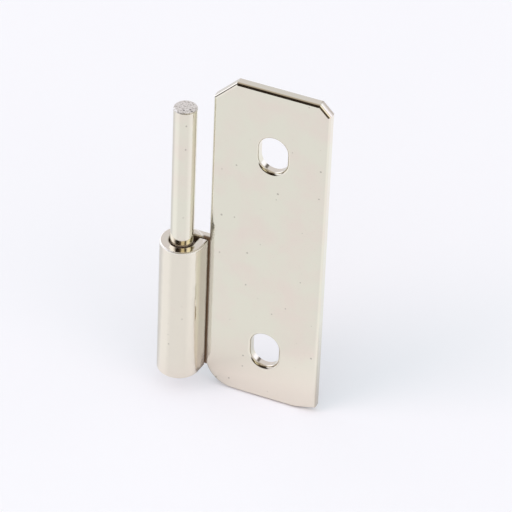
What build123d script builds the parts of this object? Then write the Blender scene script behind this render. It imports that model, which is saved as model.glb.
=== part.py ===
"""Pin half of a lift-off hinge for an oven door: one leaf pressed from sheet steel and one pin.

The leaf is a flat plate with two screw slots. One edge of the plate carries a tab, and the tab is
rolled round the lower half of the pin to make the knuckle that grips it. The upper half of the pin
stands free and takes the knuckle of the other half of the hinge, which lifts off it.

Frame, in millimetres: Z runs up along the pin's axis, and Z = 0 is the top of the knuckle, where the
other half bears. X runs across the leaf to its free edge. Y runs from the knuckle's side of the
leaf, which is the front, to the flat side that is screwed down.
"""

from build123d import *
from math import cos, radians, sin
import os

# The sheet and the pin
SHEET = 2.0
GRIPPED_RADIUS = 2.6
RUNNING_RADIUS = 2.44
NECK_RADIUS = 2.25
NECK_DEPTH = 0.9
PIN_STANDS_OUT = 33.3
PIN_STOPS_SHORT = 0.5
PIN_CHAMFER = 0.2

# The leaf, measured from the pin's axis and from the top of the knuckle
LEAF_NEAR_EDGE = 4.8
LEAF_FAR_EDGE = 29.7
LEAF_TOP = 40.35
LEAF_BOTTOM = -37.6
NEAR_TOP_CHAMFER = 4.8
FAR_TOP_CHAMFER = 2.3
NEAR_BOTTOM_RADIUS = 6.3
FAR_BOTTOM_CLIP_WIDTH = 4.6
FAR_BOTTOM_CLIP_HEIGHT = 1.3

# The two screw slots, which run along the leaf
SLOT_X = 17.9
SLOT_FROM_MIDDLE = 25.0
SLOT_WIDTH = 6.2
SLOT_LENGTH = 8.3

# The knuckle: the sheet hugs the pin for three quarters of a turn, then runs straight back to the leaf
KNUCKLE_LENGTH = 33.0
LET_GO_ANGLE = 6.0
SEAM_GAP = 0.5

# Edges
PUNCHED_EDGE = 0.75
BORE_EDGE = 0.4
KNUCKLE_EDGE = 0.3

# Worked out from the sizes above
ROLL_RADIUS = GRIPPED_RADIUS + SHEET
LEAF_FRONT = GRIPPED_RADIUS
LEAF_BACK = LEAF_FRONT + SHEET
TAB_END = LEAF_NEAR_EDGE + NEAR_BOTTOM_RADIUS
SEAM_Y = LEAF_FRONT - SEAM_GAP
WRAP_ANGLE = 270.0 - LET_GO_ANGLE
GRIPPED_LENGTH = KNUCKLE_LENGTH - PIN_STOPS_SHORT - NECK_DEPTH
LEAF_BACK_PLANE = Plane.XZ.offset(-LEAF_BACK)


def tip(wrap_radius):
    """Where the straight run ends, a seam's width short of the leaf, on the side of the sheet at this radius."""
    lean = radians(LET_GO_ANGLE)
    x = (wrap_radius + SEAM_Y * sin(lean)) / cos(lean)
    return (x, SEAM_Y)


with BuildPart() as roll:
    # The tab: round the pin, and straight from the pin's axis until it is well inside the plate
    with BuildSketch(Plane.XY.offset(-KNUCKLE_LENGTH)):
        with BuildLine():
            bore = CenterArc((0, 0), GRIPPED_RADIUS, 90, WRAP_ANGLE)
            outside = CenterArc((0, 0), ROLL_RADIUS, 90, WRAP_ANGLE)
            Polyline(bore @ 1, tip(GRIPPED_RADIUS), tip(ROLL_RADIUS), outside @ 1)
            Polyline(bore @ 0, (TAB_END, LEAF_FRONT), (TAB_END, LEAF_BACK), outside @ 0)
        make_face()
    extrude(amount=KNUCKLE_LENGTH)

    # The front of the blank becomes the inside of the roll, so its punched edges, pressed tighter by the
    # rolling, are the rims of the bore, and the rolling tool rubs down the rims outside
    rims = roll.faces().filter_by(Axis.Z).edges().filter_by(GeomType.CIRCLE).group_by(SortBy.RADIUS)
    fillet(rims[0], BORE_EDGE)
    fillet(rims[-1], KNUCKLE_EDGE)

with BuildPart() as leaf:
    # The plate with its two slots
    with BuildSketch(LEAF_BACK_PLANE):
        with BuildLine():
            sides = Polyline(
                (LEAF_NEAR_EDGE + NEAR_BOTTOM_RADIUS, LEAF_BOTTOM),
                (LEAF_FAR_EDGE - FAR_BOTTOM_CLIP_WIDTH, LEAF_BOTTOM),
                (LEAF_FAR_EDGE, LEAF_BOTTOM + FAR_BOTTOM_CLIP_HEIGHT),
                (LEAF_FAR_EDGE, LEAF_TOP - FAR_TOP_CHAMFER),
                (LEAF_FAR_EDGE - FAR_TOP_CHAMFER, LEAF_TOP),
                (LEAF_NEAR_EDGE + NEAR_TOP_CHAMFER, LEAF_TOP),
                (LEAF_NEAR_EDGE, LEAF_TOP - NEAR_TOP_CHAMFER),
                (LEAF_NEAR_EDGE, LEAF_BOTTOM + NEAR_BOTTOM_RADIUS),
            )
            RadiusArc(sides @ 1, sides @ 0, -NEAR_BOTTOM_RADIUS)
        make_face()
        with Locations((SLOT_X, -SLOT_FROM_MIDDLE), (SLOT_X, SLOT_FROM_MIDDLE)):
            SlotOverall(SLOT_LENGTH, SLOT_WIDTH, rotation=90, mode=Mode.SUBTRACT)
    extrude(amount=SHEET)

    # The punch rounds the edges on the front of the plate, where it goes in
    front = leaf.faces().filter_by(Axis.Y).sort_by(Axis.Y)[0]
    fillet(front.edges(), PUNCHED_EDGE)

    add(roll.part)

leaf.part.label = "leaf"

with BuildPart() as pin:
    # The gripped half is the full width of the bar
    with BuildSketch(Plane.XY.offset(-NECK_DEPTH - GRIPPED_LENGTH)):
        Circle(GRIPPED_RADIUS)
    extrude(amount=GRIPPED_LENGTH)

    # A short neck at the mouth of the bore, where the turning tool runs out
    with BuildSketch(Plane.XY.offset(-NECK_DEPTH)):
        Circle(NECK_RADIUS)
    extrude(amount=NECK_DEPTH)

    # The free half is turned down to run in its mate
    with BuildSketch():
        Circle(RUNNING_RADIUS)
    extrude(amount=PIN_STANDS_OUT)
    rings = pin.edges().filter_by(GeomType.CIRCLE).sort_by(Axis.Z)
    chamfer([rings[0], rings[-1]], PIN_CHAMFER)

pin.part.label = "pin"

os.makedirs("parts", exist_ok=True)
export_step(leaf.part, "parts/leaf.step")
export_step(pin.part, "parts/pin.step")
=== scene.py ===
# %% [markdown]
# # The pin half of an oven door hinge
#
# This lesson dresses a small piece of pressed hardware: a flat steel leaf, one edge of which is
# rolled round an upright pin, all of it bright nickel plated. The solids already have their true
# shape and size, so the work here is what a plater and a photographer would do. We give the steel
# its thin, warm, slightly uneven plate, and then we build the white table and the soft lights that
# a mirror-like surface needs, because polished metal shows mostly what stands round it.
#
# We begin by loading the solids. Everything is in metres, and nothing that is loaded is moved.

# %% Load the solids
import math

import bpy
from mathutils import Matrix, Vector


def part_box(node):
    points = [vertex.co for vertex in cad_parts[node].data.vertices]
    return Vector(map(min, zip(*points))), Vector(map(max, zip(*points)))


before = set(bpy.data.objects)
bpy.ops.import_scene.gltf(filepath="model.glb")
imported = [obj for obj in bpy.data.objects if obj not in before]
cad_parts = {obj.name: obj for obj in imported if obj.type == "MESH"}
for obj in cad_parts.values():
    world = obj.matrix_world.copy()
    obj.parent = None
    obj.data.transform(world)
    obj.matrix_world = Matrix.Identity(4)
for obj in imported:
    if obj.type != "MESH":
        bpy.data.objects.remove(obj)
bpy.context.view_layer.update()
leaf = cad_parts["leaf"]
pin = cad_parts["pin"]

# %% [markdown]
# Sizes come next. A hinge maker would measure everything from the pin's axis and from the top of the
# knuckle, which is where the other half bears, and the solids use just that origin. The ends of the
# hinge are read from the boxes of the two solids. Two small helpers turn millimetres into a pair of
# places, one measured from the origin and one down from an end.

# %% Places on the hinge
MM = 0.001


def span(low, high):
    """Two places along an axis, given in millimetres."""
    return (low * MM, high * MM)


def below(end, first, second):
    """Two places this many millimetres short of an end, which is given in metres."""
    return (end - first * MM, end - second * MM)


leaf_low, leaf_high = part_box("leaf")
pin_low, pin_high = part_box("pin")
floor_height = leaf_low.z
pin_end_height = pin_high.z
leaf_corners = [[round(1000 * c, 1) for c in corner] for corner in (leaf_low, leaf_high)]
print("leaf from", leaf_corners[0], "to", leaf_corners[1], "mm")
print("pin from", round(1000 * pin_low.z, 1), "to", round(1000 * pin_end_height, 1), "mm")

# %% [markdown]
# ## Nickel plate
#
# Bright nickel is a metal with a faint yellow warmth. On pressed sheet it is never a perfect mirror:
# the steel under it keeps a fine orange peel from the rolling mill, the barrel that it was plated in
# leaves small dull patches, and here and there a pit shows as a dark speck. We could paint those with
# an image, but a picture would blur close up, so each one is a noise pattern in object space that
# stays sharp at any distance. A small helper keeps the node wiring short.

# %% A helper that adds and joins nodes
def add_node(tree, kind, inputs=None, **settings):
    """Adds a node, sets its options, and fills or links its inputs by name or number."""
    node = tree.nodes.new(kind)
    for name, value in settings.items():
        setattr(node, name, value)
    for name, value in (inputs or {}).items():
        socket = node.inputs[name]
        if isinstance(value, bpy.types.NodeSocket):
            tree.links.new(value, socket)
        else:
            socket.default_value = value
    return node


def noise_at(tree, place, size, detail=2.0, roughness=0.5):
    """A noise whose lumps are about this size, in metres."""
    return add_node(
        tree, "ShaderNodeTexNoise",
        {"Vector": place, "Scale": 1.0 / size, "Detail": detail, "Roughness": roughness},
    ).outputs["Fac"]


def mix_colours(tree, factor, first, second):
    """Mixes two colours, each given as a socket or as three numbers."""
    node = add_node(tree, "ShaderNodeMix", {"Factor": factor}, data_type="RGBA")
    for socket, colour in ((node.inputs[6], first), (node.inputs[7], second)):
        if isinstance(colour, bpy.types.NodeSocket):
            tree.links.new(colour, socket)
        else:
            socket.default_value = (*colour, 1.0)
    return node.outputs[2]


print("node helpers ready")

# %% [markdown]
# Most marks on the hinge are a place, not a pattern: the mouth of the bore, the seam, a rim. A place
# could be painted by hand, but a mask built from distances follows the solid exactly. Each mask below
# is a few soft steps multiplied together, where a step goes from nought to one over a short reach.

# %% Helpers for masks
FADE_OUT = (1.0, 0.0)


def ramp(tree, value, low, high, to_low=0.0, to_high=1.0):
    """Maps a value from one range to another, and holds it at the ends."""
    return add_node(
        tree, "ShaderNodeMapRange",
        {"Value": value, "From Min": low, "From Max": high, "To Min": to_low, "To Max": to_high},
    ).outputs["Result"]


def along(tree, spot, axis, reach, to_low=0.0, to_high=1.0):
    """A soft step along one axis of the hinge, between the two ends of this reach."""
    return ramp(tree, spot.outputs[axis], *reach, to_low, to_high)


def combine(tree, operation, first, second):
    """One arithmetic step on two values."""
    return add_node(tree, "ShaderNodeMath", {0: first, 1: second}, operation=operation).outputs[0]


def product(tree, first, *others):
    """All these masks at once: each one is multiplied in, in turn."""
    for other in others:
        first = combine(tree, "MULTIPLY", first, other)
    return first


def strongest(tree, first, *others):
    """Whichever of these masks is the strongest."""
    for other in others:
        first = combine(tree, "MAXIMUM", first, other)
    return first


def distance_from(tree, place, point):
    """How far a place is from this point, in metres."""
    return add_node(
        tree, "ShaderNodeVectorMath", {0: place, 1: point}, operation="DISTANCE"
    ).outputs["Value"]


def length_of(tree, vector):
    """The length of a vector."""
    return add_node(tree, "ShaderNodeVectorMath", {0: vector}, operation="LENGTH").outputs["Value"]


print("mask helpers ready")

# %% [markdown]
# The specks are the pits in the plating. A Voronoi pattern gives every cell a random colour, so if
# only the cells whose random value is high may hold a speck, the specks come out sparse and
# irregular, as pits are. Their size also follows the cell's random value. The pattern lies in the
# plane of the leaf, because one in space would mostly miss the thin skin that we can see.

# %% Specks
SPECK_SPACING = 3.0 * MM
SPECK_RADIUS = 0.095
SPECK_EDGE = 0.03
SPECK_SHARE = 0.76
SPECK_SLANT = 0.6


def specks(tree, spot):
    """One on a few scattered specks, nought between them."""
    slanted = combine(tree, "MULTIPLY", spot.outputs["Y"], SPECK_SLANT)
    across = combine(tree, "ADD", spot.outputs["X"], slanted)
    flat = add_node(tree, "ShaderNodeCombineXYZ", {"X": across, "Y": spot.outputs["Z"]}).outputs[0]
    cells = add_node(
        tree, "ShaderNodeTexVoronoi", {"Vector": flat, "Scale": 1.0 / SPECK_SPACING},
        voronoi_dimensions="2D",
    )
    chance = add_node(tree, "ShaderNodeSeparateColor", {"Color": cells.outputs["Color"]})
    reach = ramp(tree, chance.outputs["Red"], SPECK_SHARE, 1.0, 0.0, SPECK_RADIUS)
    return ramp(tree, combine(tree, "SUBTRACT", reach, cells.outputs["Distance"]), 0.0, SPECK_EDGE)


print("at most one speck in each cell of", round(1000 * SPECK_SPACING, 1), "mm")

# %% [markdown]
# Polish never reaches the mouth of the bore, nor the little pocket between the pin and the straight
# run of the tab, so both keep some tarnish; their brown is also painted shade of these hollows. A dark
# ring drawn at the rim would look painted on. Instead the brown starts at the wall of the bore and
# fades out upwards, and towards the back it reaches a little further out.

# %% Tarnish and painted shade in the mouth of the bore
# brown in the mouth and the pocket: partly tarnish, partly painted shade of these hollows
MOUTH_TARNISH_AND_SHADE = 0.9
MOUTH_LEVEL = span(-0.10, 0.15)
MOUTH_WALL = span(2.55, 3.05)
MOUTH_BACK = span(0.3, 1.4)
MOUTH_BACK_REACH = 0.55 * MM
POCKET_TARNISH_AND_SHADE = 0.95
POCKET_LEVEL = span(-0.25, -0.05)
POCKET_WALL = span(2.40, 2.55)
POCKET_LEFT = span(0.2, 0.6)
POCKET_RIGHT = span(4.35, 4.50)
POCKET_FRONT = span(-0.6, 0.0)
POCKET_BACK = span(2.7, 3.0)


def mouth_tarnish_and_shade(tree, spot, from_axis):
    """The tarnish and painted shade in the mouth of the bore and in the pocket beside the pin."""
    level = along(tree, spot, "Z", MOUTH_LEVEL, MOUTH_TARNISH_AND_SHADE, 0.0)
    corner = along(tree, spot, "Y", MOUTH_BACK, 0.0, MOUTH_BACK_REACH)
    inwards = combine(tree, "SUBTRACT", from_axis, corner)
    mouth = product(tree, level, ramp(tree, inwards, *MOUTH_WALL, *FADE_OUT))
    pocket = product(
        tree,
        along(tree, spot, "Z", POCKET_LEVEL, POCKET_TARNISH_AND_SHADE, 0.0),
        ramp(tree, from_axis, *POCKET_WALL),
        along(tree, spot, "X", POCKET_LEFT),
        along(tree, spot, "X", POCKET_RIGHT, *FADE_OUT),
        along(tree, spot, "Y", POCKET_FRONT),
        along(tree, spot, "Y", POCKET_BACK, *FADE_OUT),
    )
    return strongest(tree, mouth, pocket)


print("mouth tarnish and painted shade reach", round(1000 * MOUTH_LEVEL[1], 2), "mm above the knuckle's top")

# %% [markdown]
# The seam is the thin gap where the rolled tab comes back to the leaf. It is a brown line, partly
# tarnish from liquid that stayed in the gap and partly painted shade of the gap. The line goes on for a
# few millimetres above the knuckle, up the near edge of the plate, and gets fainter there; that part is
# a painted reflection of the dark seam.

# %% Tarnish and painted shade along the seam
# the seam: partly tarnish, partly painted shade of the gap
SEAM_TARNISH_AND_SHADE = 0.95
SEAM_INSIDE = span(5.10, 5.45)
SEAM_LEFT = span(3.0, 3.6)
SEAM_FRONT = span(2.0, 2.15)
SEAM_BACK = span(3.1, 3.5)
SEAM_TOP = span(0.5, 9.0)
# a painted reflection of the dark seam on the plate's near edge above it
STREAK_PAINTED_REFLECTION = 0.7
STREAK_INSIDE = span(5.3, 5.9)
STREAK_START = span(0.0, 0.6)


def seam_tarnish_and_shade(tree, spot):
    """Tarnish and painted shade along the seam, and the wider painted reflection on the plate's edge
    above it.
    """
    streak = product(
        tree,
        along(tree, spot, "X", STREAK_INSIDE, STREAK_PAINTED_REFLECTION, 0.0),
        along(tree, spot, "Z", STREAK_START),
    )
    inside = strongest(tree, along(tree, spot, "X", SEAM_INSIDE, SEAM_TARNISH_AND_SHADE, 0.0), streak)
    across = product(tree, inside, along(tree, spot, "X", SEAM_LEFT))
    deep = product(
        tree, along(tree, spot, "Y", SEAM_FRONT), along(tree, spot, "Y", SEAM_BACK, *FADE_OUT)
    )
    return product(tree, along(tree, spot, "Z", SEAM_TOP, *FADE_OUT), product(tree, across, deep))


print("seam tarnish and painted shade up to", round(1000 * SEAM_TOP[1], 1), "mm")

# %% [markdown]
# Some punched edges are darker: the lower edge with its round left corner, the lower part of the
# outer edge, and the far half of the cut upper corner. This darkening is painted shade: the lower
# edges mirror the shaded table at the foot, and on the cut corner it tones down the bright facet. The
# lower left corner is round, so its mask measures from the middle of that round. At the far upper
# corner, which is cut off, the sum of two coordinates follows the slope.

# %% Painted shade on the punched edges
# painted shade on the lower edges, where they mirror the shaded table, and on the cut corner
PAINTED_EDGE_SHADE = 0.60
CORNER_RADIUS = 6.3 * MM
PLATE_FROM_KNUCKLE = 9.4 * MM
PLATE_START = span(4.65, 4.75)
LOWER_EDGE = below(CORNER_RADIUS, 0.55, 0.25)
LOWER_EDGE_TOP = span(-31.0, -28.0)
OUTER_EDGE = below(leaf_high.x, 0.22, 0.06)
OUTER_EDGE_TOP = span(-34.0, -14.0)
OUTER_EDGE_SHARE = 0.6
CUT_CORNER = below(leaf_high.x + leaf_high.z, 2.6, 2.4)
CUT_CORNER_BACK = span(3.5, 4.2)
CUT_CORNER_SHARE = 0.5


def painted_shade_on_edges(tree, spot):
    """Painted shade on the lower edge, round its left corner and up the outer edge."""
    round_middle = leaf_low.x + PLATE_FROM_KNUCKLE + CORNER_RADIUS
    across = combine(tree, "SUBTRACT", round_middle, spot.outputs["X"])
    down = combine(tree, "SUBTRACT", leaf_low.z + CORNER_RADIUS, spot.outputs["Z"])
    corner = add_node(tree, "ShaderNodeCombineXYZ", {
        "X": combine(tree, "MAXIMUM", across, 0.0), "Y": combine(tree, "MAXIMUM", down, 0.0),
    }).outputs[0]
    lower = product(
        tree,
        ramp(tree, length_of(tree, corner), *LOWER_EDGE),
        along(tree, spot, "Z", LOWER_EDGE_TOP, *FADE_OUT),
    )
    outer = product(
        tree,
        along(tree, spot, "X", OUTER_EDGE),
        along(tree, spot, "Z", OUTER_EDGE_TOP, OUTER_EDGE_SHARE, 0.0),
    )
    on_plate = along(tree, spot, "X", PLATE_START, 0.0, PAINTED_EDGE_SHADE)
    return product(tree, strongest(tree, lower, outer), on_plate)


def painted_shade_on_cut_corner(tree, spot):
    """Painted shade on the far half of the cut upper corner."""
    cut = combine(tree, "ADD", spot.outputs["X"], spot.outputs["Z"])
    return product(
        tree,
        ramp(tree, cut, *CUT_CORNER),
        along(tree, spot, "Y", CUT_CORNER_BACK, 0.0, CUT_CORNER_SHARE),
    )


print("painted edge shade starts", round(1000 * (CORNER_RADIUS - LOWER_EDGE[0]), 2), "mm from the lower edge")

# %% [markdown]
# Tools leave marks of their own. The punch leaves the upper edge of the plate a little rough. The
# outer rim of the knuckle's top is satin, and its brighter colour there is a painted highlight. The
# shear that parts the pin from its bar leaves a few dark nicks near the front of the pin's end. The
# nicks could come from a noise, but there are only three, so their places are written out.

# %% Marks of the punch and the shear, and the painted highlight on the rim
PUNCHED_TOP = below(leaf_high.z, 0.9, 0.6)
PUNCHED_DEPTH = span(3.3, 3.7)
PUNCHED_FRONT_SHARE = 0.55
PUNCHED_BACK_SHARE = 0.15
RIM_HEIGHT = span(-0.42, -0.26)
RIM_INSIDE = span(4.26, 4.34)
RIM_OUTSIDE = span(4.62, 4.70)
RIM_TOP = span(0.05, 0.10)
SHEAR_MARKS_MM = ((0.13, -1.20), (1.22, -0.45), (1.72, -0.86))
SHEAR_MARK_SIZE = span(0.10, 0.26)


def ragged_edge(tree, spot):
    """The punched upper edge of the plate, rougher at the front, where the punch goes in."""
    shares = (PUNCHED_FRONT_SHARE, PUNCHED_BACK_SHARE)
    return product(
        tree, along(tree, spot, "Z", PUNCHED_TOP), along(tree, spot, "Y", PUNCHED_DEPTH, *shares)
    )


def rim_with_painted_highlight(tree, spot, from_axis):
    """The outer rim of the knuckle's top, satin, with a painted highlight in its colour."""
    outside = product(
        tree,
        ramp(tree, from_axis, *RIM_INSIDE),
        ramp(tree, from_axis, *RIM_OUTSIDE, *FADE_OUT),
        along(tree, spot, "Z", RIM_TOP, *FADE_OUT),
    )
    return product(tree, along(tree, spot, "Z", RIM_HEIGHT), outside)


def shear_marks(tree, place):
    """The few dark nicks that the shear left near the front of the pin's end."""
    marks = 0.0
    for x, y in SHEAR_MARKS_MM:
        away = distance_from(tree, place, (x * MM, y * MM, pin_end_height))
        marks = strongest(tree, marks, ramp(tree, away, *SHEAR_MARK_SIZE, *FADE_OUT))
    return marks


print(len(SHEAR_MARKS_MM), "nicks on the pin's end")

# %% [markdown]
# A few more areas need a mask. The pin's end and the knuckle's top are cut faces and show grain. The
# rolled tab was bent, so the sheet there is dented and its plate a little rosier. The straight run of
# the tab, which faces the seam, gets a darker colour, which is painted shade.

# %% Where the steel was cut and bent, and where shade is painted on the straight run
CUT_END = below(pin_end_height, 0.26, 0.21)
CUT_END_RADIUS = span(2.7, 3.0)
CUT_TOP_SHARE = 0.5
CUT_TOP = span(0.02, 0.06)
CUT_TOP_RADIUS = span(5.0, 5.4)
BEYOND_PIN = span(3.2, 3.8)
ROLL_RIGHT = span(4.3, 5.0)
RUN_LEFT = span(4.45, 4.58)
RUN_BACK = span(2.1, 2.2)


def cut_faces(tree, spot, from_axis):
    """The pin's sheared end, and the knuckle's cut top."""
    end = product(
        tree, along(tree, spot, "Z", CUT_END), ramp(tree, from_axis, *CUT_END_RADIUS, *FADE_OUT)
    )
    from_top = combine(tree, "ABSOLUTE", spot.outputs["Z"], 0.0)
    top = product(
        tree,
        ramp(tree, from_top, *CUT_TOP, CUT_TOP_SHARE, 0.0),
        ramp(tree, from_axis, *CUT_TOP_RADIUS, *FADE_OUT),
    )
    return end, top


def bent_sheet(tree, spot, from_axis):
    """The rolled tab, and the straight run that ends at the seam."""
    beyond_pin = ramp(tree, from_axis, *BEYOND_PIN)
    rolled = product(tree, along(tree, spot, "X", ROLL_RIGHT, *FADE_OUT), beyond_pin)
    straight_run = product(
        tree, along(tree, spot, "X", RUN_LEFT), beyond_pin, along(tree, spot, "Y", RUN_BACK, *FADE_OUT)
    )
    return rolled, straight_run


print("cut end from", round(1000 * CUT_END[0], 2), "mm up")

# %% [markdown]
# Every finish below needs some of the same masks, so they are made once and kept by name. The noises
# are here too: slow patches, fine peel, wide dents and coarse grain.

# %% Every mask, by name
# the size of a lump, how many finer sizes are added, and how strong those are
PATCHES = (7.0 * MM, 4.0, 0.55)
PEEL = (0.8 * MM, 2.0, 0.4)
DENTS = (2.6 * MM, 1.0, 0.4)
GRAIN = (0.45 * MM, 4.0, 0.7)
ACROSS_ONLY = (1.0, 1.0, 0.0)


def marks_on_steel(tree):
    """The place, its distance from the pin's axis, and every noise and mask, by name."""
    place = add_node(tree, "ShaderNodeTexCoord").outputs["Object"]
    spot = add_node(tree, "ShaderNodeSeparateXYZ", {"Vector": place})
    flattened = add_node(
        tree, "ShaderNodeVectorMath", {0: place, 1: ACROSS_ONLY}, operation="MULTIPLY"
    ).outputs[0]
    from_axis = length_of(tree, flattened)
    cut_end, cut_top = cut_faces(tree, spot, from_axis)
    rolled, straight_run = bent_sheet(tree, spot, from_axis)
    tarnish_and_shade = strongest(
        tree,
        mouth_tarnish_and_shade(tree, spot, from_axis), seam_tarnish_and_shade(tree, spot),
        painted_shade_on_edges(tree, spot), painted_shade_on_cut_corner(tree, spot),
    )
    return {
        "place": place, "spot": spot, "from axis": from_axis,
        "patches": noise_at(tree, place, *PATCHES),
        "peel": noise_at(tree, place, *PEEL),
        "dents": noise_at(tree, place, *DENTS),
        "grain": noise_at(tree, place, *GRAIN),
        "speck": specks(tree, spot), "tarnish_and_shade": tarnish_and_shade,
        "cut end": cut_end, "cut top": cut_top,
        "rolled": rolled, "straight run": straight_run,
        "rim": rim_with_painted_highlight(tree, spot, from_axis),
        "ragged edge": ragged_edge(tree, spot),
    }


print("patches of", round(1000 * PATCHES[0], 1), "mm, peel of", round(1000 * PEEL[0], 1), "mm")

# %% [markdown]
# Colour goes on in layers, one over the other: the plate with its rosier patches and a rosier foot,
# which is painted shade, then the painted shade on the straight run and the painted highlight on the
# rim, then the tarnish and painted shade, then the bare steel of the pin's end, and the specks over
# all.
# The numbers were set by measuring against the picture, so that the tones match under these lights.
# They aren't laboratory values for nickel.

# %% The plate's colour
NICKEL = (0.757, 0.742, 0.626)
NICKEL_ROSY = (0.772, 0.706, 0.614)
# painted shade on the straight run of the tab, which faces the seam
PAINTED_RUN_SHADE = (0.65, 0.61, 0.56)
# a painted highlight on the outer rim of the knuckle's top
PAINTED_RIM_HIGHLIGHT = (0.97, 0.95, 0.88)
# tarnish in the hollows, also used for the painted shade on edges, seam and mouth
TARNISH_AND_PAINTED_SHADE = (0.140, 0.070, 0.030)
CUT_STEEL = (0.82, 0.805, 0.745)
PIT = (0.36, 0.33, 0.28)
NICK = (0.13, 0.12, 0.11)
ROSY_PATCHES = (0.42, 0.68)
ROSY_ROLL = 0.5
# rosier towards the foot: painted shade, where the foot mirrors the shaded table
PAINTED_ROSY_SHADE_AT_FOOT = 0.9
PAINTED_ROSY_SHADE_TOP = span(-33.0, -22.0)
PITTED_GRAIN = (0.50, 0.64)
PITTED_SHARE = 0.9
SPECK_STRENGTH = 0.7


def plate_colour(tree, marks):
    """Nickel, patches, painted shade and highlight, tarnish and painted shade, bare end and specks, one
    over the other.
    """
    rosy = strongest(
        tree,
        ramp(tree, marks["patches"], *ROSY_PATCHES),
        product(tree, marks["rolled"], ROSY_ROLL),
        along(tree, marks["spot"], "Z", PAINTED_ROSY_SHADE_TOP, PAINTED_ROSY_SHADE_AT_FOOT, 0.0),
    )
    plain = mix_colours(tree, rosy, NICKEL, NICKEL_ROSY)
    run_shaded = mix_colours(tree, marks["straight run"], plain, PAINTED_RUN_SHADE)
    with_rim_highlight = mix_colours(tree, marks["rim"], run_shaded, PAINTED_RIM_HIGHLIGHT)
    tarnished_and_shaded = mix_colours(tree, marks["tarnish_and_shade"], with_rim_highlight, TARNISH_AND_PAINTED_SHADE)
    pitted = ramp(tree, marks["grain"], *PITTED_GRAIN, 0.0, PITTED_SHARE)
    cut_tone = mix_colours(tree, pitted, CUT_STEEL, PIT)
    cut_tone = mix_colours(tree, shear_marks(tree, marks["place"]), cut_tone, NICK)
    capped = mix_colours(tree, marks["cut end"], tarnished_and_shaded, cut_tone)
    return mix_colours(tree, product(tree, marks["speck"], SPECK_STRENGTH), capped, PIT)


print("plate colours ready")

# %% [markdown]
# Gloss decides how sharply the metal mirrors the room. The plate is nearly a mirror and a little
# duller in the patches. Tarnish, painted shade and the sheared end are duller, and the outer rim and
# the pin's chamfer are satin.

# %% The plate's gloss
PLATE_ROUGHNESS = 0.085
GLOSSY_PATCH = -0.02
DULL_PATCH = 0.04
PATCH_RANGE = (0.30, 0.75)
CUT_ROUGHNESS = 0.24
RIM_ROUGHNESS = 0.50
CHAMFER_RADIUS = span(2.20, 2.26)


def plate_roughness(tree, marks):
    """Nearly a mirror, duller in patches, on cut steel, tarnish and painted shade, and satin on the
    rims.
    """
    rough = ramp(
        tree, marks["patches"], *PATCH_RANGE,
        PLATE_ROUGHNESS + GLOSSY_PATCH, PLATE_ROUGHNESS + DULL_PATCH,
    )
    dull = strongest(tree, marks["cut end"], marks["tarnish_and_shade"])
    rough = ramp(tree, dull, 0.0, 1.0, rough, CUT_ROUGHNESS)
    chamfer = product(tree, marks["cut end"], ramp(tree, marks["from axis"], *CHAMFER_RADIUS))
    return ramp(tree, strongest(tree, marks["rim"], chamfer), 0.0, 1.0, rough, RIM_ROUGHNESS)


print("plate roughness", PLATE_ROUGHNESS, "cut steel", CUT_ROUGHNESS, "rim", RIM_ROUGHNESS)

# %% [markdown]
# The relief is far too fine to model, so a bump stands for it: orange peel everywhere, sunk specks,
# dents that are deep only on the rolled tab, and grain only on cut and punched faces.

# %% The plate's relief
SPECK_DEPTH = 0.8
FLAT_DENTS = 0.6
ROLLED_DENTS = 34.0
GRAIN_DEPTH = 3.0


def plate_relief(tree, marks):
    """The height of the orange peel, specks, dents and grain together."""
    sunk = product(tree, marks["speck"], SPECK_DEPTH)
    height = combine(tree, "SUBTRACT", marks["peel"], sunk)
    dent_depth = ramp(tree, marks["rolled"], 0.0, 1.0, FLAT_DENTS, ROLLED_DENTS)
    height = combine(tree, "ADD", height, product(tree, marks["dents"], dent_depth))
    grained = strongest(tree, marks["cut end"], marks["cut top"], marks["ragged edge"])
    grain_depth = ramp(tree, grained, 0.0, 1.0, 0.0, GRAIN_DEPTH)
    return combine(tree, "ADD", height, product(tree, marks["grain"], grain_depth))


print("dents", round(ROLLED_DENTS / FLAT_DENTS), "times deeper on the roll")

# %% [markdown]
# Now the layers come together in one shader. The plate is a metal, and only the tarnish and the
# painted shade are made mostly not metal. The leaf and the pin have the same tone in the picture, so
# one function makes both finishes, and each solid gets its own copy.

# %% The nickel plate
METAL_UNDER_TARNISH_AND_SHADE = 0.15
BUMP_STRENGTH = 0.20
BUMP_HEIGHT = 0.012 * MM


def nickel_plate(name):
    """A new material with the plate's colour, gloss and relief."""
    material = bpy.data.materials.new(name)
    material.use_nodes = True
    tree = material.node_tree
    tree.nodes.clear()
    marks = marks_on_steel(tree)
    shader = add_node(tree, "ShaderNodeBsdfPrincipled", {
        "Base Color": plate_colour(tree, marks),
        "Metallic": ramp(tree, marks["tarnish_and_shade"], 0.0, 1.0, 1.0, METAL_UNDER_TARNISH_AND_SHADE),
        "Roughness": plate_roughness(tree, marks),
    })
    bump = add_node(tree, "ShaderNodeBump", {
        "Strength": BUMP_STRENGTH, "Distance": BUMP_HEIGHT, "Height": plate_relief(tree, marks),
    })
    tree.links.new(bump.outputs["Normal"], shader.inputs["Normal"])
    add_node(tree, "ShaderNodeOutputMaterial", {"Surface": shader.outputs["BSDF"]})
    print("made", material.name, "with", len(tree.nodes), "nodes")
    return material


leaf.material_slots[0].material = nickel_plate("nickel plate on pressed sheet")
pin.material_slots[0].material = nickel_plate("nickel plate on turned bar")

# %% [markdown]
# ## The white table
#
# The hinge was photographed on white. A large pale disc stands for the table, at the height of the
# leaf's lower edge, and a pale world closes the space beyond it. A disc is better than a square here,
# because no corner of it can show in the metal.

# %% The table
TABLE_RADIUS = 2.5
TABLE_SIDES = 128


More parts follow.
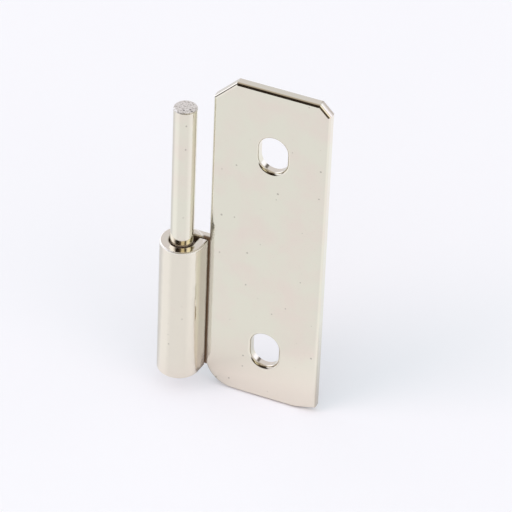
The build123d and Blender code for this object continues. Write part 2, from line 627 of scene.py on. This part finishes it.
def table_mesh():
    """A flat round disc, made as one face with many sides."""
    mesh = bpy.data.meshes.new("white table")
    rim = [
        (TABLE_RADIUS * math.cos(turn), TABLE_RADIUS * math.sin(turn), floor_height)
        for turn in (math.tau * side / TABLE_SIDES for side in range(TABLE_SIDES))
    ]
    mesh.from_pydata(rim, [], [tuple(range(TABLE_SIDES))])
    return mesh


table = bpy.data.objects.new("white table", table_mesh())
bpy.context.scene.collection.objects.link(table)
print("table", 2 * TABLE_RADIUS, "m across at", round(1000 * floor_height, 1), "mm")

# %% [markdown]
# We look down at an upright leaf, so its whole front mirrors the table. What the table looks like to
# the metal therefore sets the leaf's brightness. We make it lighter to the left and right, lighter
# again close to the foot, and darker in a small patch beside the knuckle. No real table is like that:
# the tones were fitted to the picture. Only reflections see them.

# %% What the metal sees of the table
LEFT_START = (-22, -45)
LEFT_END = (-104, -76)
RIGHT_START = (48, 78)
FOOT = (0.015, 0.0, floor_height)
FOOT_REACH = span(5, 60)
FOOT_LIFT = 0.08
SHADE_DEPTH = span(-9, 1)
SHADE_LEFT = span(2, 7)
SHADE_REACH = span(18, 30)
SHADE_STRENGTH = 0.8


def turned(tree, turn, degrees, to_low=0.0, to_high=1.0):
    """A soft step over a range of directions round the pin, given in degrees."""
    low, high = degrees
    return ramp(tree, turn, math.radians(low), math.radians(high), to_low, to_high)


def lift_in_metal(tree, place):
    """How much lighter or darker than usual reflections see each place on the table."""
    spot = add_node(tree, "ShaderNodeSeparateXYZ", {"Vector": place})
    forwards = combine(tree, "MULTIPLY", spot.outputs["Y"], -1.0)
    turn = combine(tree, "ARCTAN2", spot.outputs["X"], forwards)
    to_the_left = product(
        tree, turned(tree, turn, LEFT_START), turned(tree, turn, LEFT_END, -1.0, 1.0)
    )
    beside = combine(tree, "ADD", to_the_left, turned(tree, turn, RIGHT_START))
    from_foot = distance_from(tree, place, FOOT)
    beside = combine(tree, "ADD", beside, ramp(tree, from_foot, *FOOT_REACH, FOOT_LIFT, 0.0))
    near_knuckle = product(
        tree, along(tree, spot, "X", SHADE_LEFT), ramp(tree, from_foot, *SHADE_REACH, *FADE_OUT)
    )
    shade = product(tree, along(tree, spot, "Y", SHADE_DEPTH, 0.0, SHADE_STRENGTH), near_knuckle)
    return combine(tree, "SUBTRACT", beside, shade)


print("table lifted up to", round(1000 * FOOT_REACH[1]), "mm from the foot, in reflections")

# %% [markdown]
# Two small spots on the table look almost white in the picture, under the knuckle and behind the
# lower slot, although the hinge shades them. More light would also brighten the hinge, so we give
# each spot a faint glow instead, one that fades at its rim and that only the camera sees.

# %% The glow under the knuckle and behind the lower slot
GLOWS = (
    ("under the knuckle", (0.001, -0.003, floor_height), span(4, 15)),
    ("behind the lower slot", (0.012, 0.0186, floor_height), span(4, 12)),
)
GLOW_SHARE = 0.5


def glow_to_camera(tree, place):
    """The share of plain white in the two spots, nought elsewhere."""
    glow = 0.0
    for name, middle, reach in GLOWS:
        away = distance_from(tree, place, middle)
        glow = strongest(tree, glow, ramp(tree, away, *reach, GLOW_SHARE, 0.0))
        print("glow", name)
    return glow


print(len(GLOWS), "glows described")

# %% [markdown]
# The paper itself is matt and very slightly uneven. The backdrop's white is shared with the world
# below, so the glow and the air above the table have one colour.

# %% The paper
BACKDROP = (0.947, 0.939, 0.991)
PAPER_LIGHT = (0.950, 0.942, 0.985)
PAPER_SHADED = (0.935, 0.928, 0.975)
PAPER_PATCH = 60 * MM
LIFT_RANGE = (-1.0, 2.0)
LIFT_TONES = (0.87, 1.26)

paper = bpy.data.materials.new("white paper")
paper.use_nodes = True
paper_tree = paper.node_tree
paper_tree.nodes.clear()
paper_place = add_node(paper_tree, "ShaderNodeTexCoord").outputs["Object"]
paper_rays = add_node(paper_tree, "ShaderNodeLightPath")
lift = product(paper_tree, lift_in_metal(paper_tree, paper_place), paper_rays.outputs["Is Glossy Ray"])
glow = product(paper_tree, glow_to_camera(paper_tree, paper_place), paper_rays.outputs["Is Camera Ray"])
paper_patches = noise_at(paper_tree, paper_place, PAPER_PATCH)
paper_colour = mix_colours(paper_tree, paper_patches, PAPER_LIGHT, PAPER_SHADED)
lifted = add_node(
    paper_tree, "ShaderNodeVectorMath",
    {0: paper_colour, 1: ramp(paper_tree, lift, *LIFT_RANGE, *LIFT_TONES)}, operation="MULTIPLY",
).outputs[0]
matt = add_node(paper_tree, "ShaderNodeBsdfDiffuse", {"Color": lifted}).outputs["BSDF"]
white = add_node(
    paper_tree, "ShaderNodeEmission", {"Color": (*BACKDROP, 1.0), "Strength": 1.0}
).outputs["Emission"]
surface = add_node(paper_tree, "ShaderNodeMixShader", {0: glow, 1: matt, 2: white}).outputs["Shader"]
add_node(paper_tree, "ShaderNodeOutputMaterial", {"Surface": surface})
table.data.materials.append(paper)
print("paper with", len(paper_tree.nodes), "nodes")

# %% [markdown]
# ## Light
#
# Two wide, soft lights stand left and right in front of the table, and the world fills the rest. The
# three add up to about one on the table, so that a colour comes out as it is written. The world is
# brighter in front than behind, as a studio is, so the floor before the hinge stays clean, and a
# little cooler than the lamps, which cools the shadow.
#
# The camera sees the world as plain white. The metal sees a room. We can't know what stood in the real
# studio, so this one is worked out backwards: for each thin dark or bright line along a rounded edge,
# we ask which way that edge looks, and put something there. The names below are guesses at what
# such a thing may be. Each part is a soft circle of directions, which is enough because a rounded
# edge squeezes the whole room into a line.

# %% The parts of the room that metal mirrors
PALE_WALL = (0.838, 0.808, 0.862)
CAMERA_STAND = (0.030, 0.020, 0.013)
# name, azimuth and elevation of its middle, radius and softness in degrees, colour, strength
ROOM_PARTS = (
    ("dim ceiling", 0, 90, 34, 10, (0.50, 0.40, 0.30), 0.85),
    ("brown wall in front", 20, 26, 45, 8, (0.10, 0.075, 0.05), 1.0),
    ("warm patch on that wall", 31, 38, 13, 4, (0.95, 0.85, 0.58), 1.0),
    ("left window", -97, 22, 34, 6, (1.55, 1.56, 1.78), 1.0),
    ("dark sill under it", -79, 3, 12, 3, (0.06, 0.045, 0.03), 1.0),
    ("right softbox", 88, 38, 16, 5, (1.35, 1.27, 1.05), 1.0),
    ("far right window", 138, 13, 13, 5, (1.33, 1.35, 1.56), 1.0),
    ("camera stand, low", -20, 8, 15, 4, CAMERA_STAND, 1.0),
    ("camera stand, middle", -22, 32, 17, 4, CAMERA_STAND, 1.0),
    ("camera stand, high", -34, 57, 16, 5, CAMERA_STAND, 1.0),
    ("dark gap behind", 153, 33, 7, 3, (0.10, 0.08, 0.07), 0.85),
)


def direction(azimuth, elevation):
    """The unit vector towards this azimuth, counted from the front to the right, and this elevation."""
    turn, rise = math.radians(azimuth), math.radians(elevation)
    return Vector((
        math.sin(turn) * math.cos(rise), -math.cos(turn) * math.cos(rise), math.sin(rise)
    ))


def nearness_to(tree, azimuth, elevation):
    """The cosine of the angle between the way a ray goes and this direction."""
    look = add_node(tree, "ShaderNodeTexCoord").outputs["Generated"]
    return add_node(
        tree, "ShaderNodeVectorMath", {0: look, 1: direction(azimuth, elevation)},
        operation="DOT_PRODUCT",
    ).outputs["Value"]


def part_of_room(tree, azimuth, elevation, radius, softness):
    """One inside this circle of directions, nought outside it."""
    edge = math.cos(math.radians(radius + softness))
    full = math.cos(math.radians(radius - softness))
    return ramp(tree, nearness_to(tree, azimuth, elevation), edge, full)


def mirrored_room(tree):
    """The pale walls with every part of the room laid over them in turn."""
    mirrored = PALE_WALL
    for name, azimuth, elevation, radius, softness, colour, strength in ROOM_PARTS:
        part = part_of_room(tree, azimuth, elevation, radius, softness)
        mirrored = mix_colours(tree, product(tree, part, strength), mirrored, colour)
        print("room has", name)
    return mirrored


print(len(ROOM_PARTS), "parts of the room described")

# %% [markdown]
# The world can now tell its rays apart. Camera rays, and rays that pass through glass, see the white
# backdrop. Glossy rays from the metal that we look at see the room. A ray that has already bounced off
# the table is different: it asks how much light the hinge throws on to the paper. If it saw the dark
# room, the hinge would darken the table far more than in the picture, so it gets a plain bright fill.

# %% The world
ROOM_FILL = 0.671
ROOM_FRONT = 0.46
BRIGHTEST_WAY = (4, 40)
ROOM_COLOUR = (0.948, 1.012, 1.019)
BOUNCED_COLOUR = (1.25, 1.37, 1.63)
NO_BOUNCE_YET = 0.5

world = bpy.data.worlds.new("white room")
bpy.context.scene.world = world
world.use_nodes = True
world_tree = world.node_tree
world_tree.nodes.clear()

rays = add_node(world_tree, "ShaderNodeLightPath").outputs
level = ramp(
    world_tree, nearness_to(world_tree, *BRIGHTEST_WAY), -1.0, 1.0,
    ROOM_FILL - ROOM_FRONT, ROOM_FILL + ROOM_FRONT,
)
fill_colour = mix_colours(world_tree, rays["Is Glossy Ray"], ROOM_COLOUR, BOUNCED_COLOUR)
fill = add_node(
    world_tree, "ShaderNodeVectorMath", {0: fill_colour, 1: level}, operation="MULTIPLY"
).outputs[0]
first_look = combine(world_tree, "LESS_THAN", rays["Diffuse Depth"], NO_BOUNCE_YET)
in_metal = product(world_tree, rays["Is Glossy Ray"], first_look)
lit = mix_colours(world_tree, in_metal, fill, mirrored_room(world_tree))
seen = strongest(world_tree, rays["Is Camera Ray"], rays["Is Transmission Ray"])
shown = mix_colours(world_tree, seen, lit, BACKDROP)
sky = add_node(world_tree, "ShaderNodeBackground", {"Color": shown})
add_node(world_tree, "ShaderNodeOutputWorld", {"Surface": sky.outputs["Background"]})
print("world with", len(world_tree.nodes), "nodes")

# %% [markdown]
# The two lamps light the table and cast the soft shadows. The metal doesn't see them, because the room
# that it mirrors already holds its own bright parts. A sun lamp with a wide angle was chosen, because
# its light doesn't fall off across the table.

# %% The two softboxes
SOFTBOX_ANGLE = math.radians(34)
LAMP_COLOUR = (1.0, 0.72, 0.69)
LAMP_GAIN = 1.30


def softbox(name, azimuth, elevation, share):
    """A wide distant light from this side that adds this share of full light on the table."""
    lamp = bpy.data.lights.new(name, "SUN")
    lamp.angle = SOFTBOX_ANGLE
    lamp.color = LAMP_COLOUR
    lamp.energy = LAMP_GAIN * share * math.pi / math.sin(math.radians(elevation))
    box = bpy.data.objects.new(name, lamp)
    box.rotation_euler = direction(azimuth, elevation).to_track_quat("Z", "Y").to_euler()
    box.visible_glossy = False
    bpy.context.scene.collection.objects.link(box)
    print(name, "from", azimuth, "degrees, share", share)


softbox("left softbox", -47, 42, 0.098)
softbox("right softbox", 66, 42, 0.045)

# %% [markdown]
# ## Camera
#
# The camera stands well above the hinge and a little to its right, with a long lens and a slight roll.
# A long lens keeps the leaf's edges nearly parallel. The height is a compromise: the round ends of the
# pin and the knuckle would ask for a higher camera, and the holes, if they were round, for a much
# lower one.

# %% The camera
CAMERA_AZIMUTH = 21.669
CAMERA_ELEVATION = 38.0
CAMERA_ROLL = math.radians(2.391)
CAMERA_DISTANCE = 0.8182
SENSOR_WIDTH = 36.0
PICTURE_WIDTH = 512
FOCAL_PIXELS = 4023.5
AIM_RIGHT = 15.16 * MM
AIM_UP = -2.701 * MM
NEAREST = 0.01
FARTHEST = 20.0

backward = direction(CAMERA_AZIMUTH, CAMERA_ELEVATION)
turn = math.radians(CAMERA_AZIMUTH)
rightward = Vector((math.cos(turn), math.sin(turn), 0.0))
upward = backward.cross(rightward)
aim = rightward * AIM_RIGHT + upward * AIM_UP
turned_right = rightward * math.cos(CAMERA_ROLL) + upward * math.sin(CAMERA_ROLL)
turned_up = upward * math.cos(CAMERA_ROLL) - rightward * math.sin(CAMERA_ROLL)

lens = bpy.data.cameras.new("camera")
lens.sensor_width = SENSOR_WIDTH
lens.lens = FOCAL_PIXELS / PICTURE_WIDTH * SENSOR_WIDTH
lens.clip_start = NEAREST
lens.clip_end = FARTHEST
camera = bpy.data.objects.new("camera", lens)
camera.matrix_world = Matrix.Translation(aim + backward * CAMERA_DISTANCE) @ Matrix(
    (turned_right, turned_up, backward)
).transposed().to_4x4()
bpy.context.scene.collection.objects.link(camera)
bpy.context.scene.camera = camera
bpy.context.scene.view_settings.view_transform = "Standard"
stand = [round(c, 3) for c in camera.matrix_world.translation]
print("lens", round(lens.lens, 1), "mm, camera at", stand)
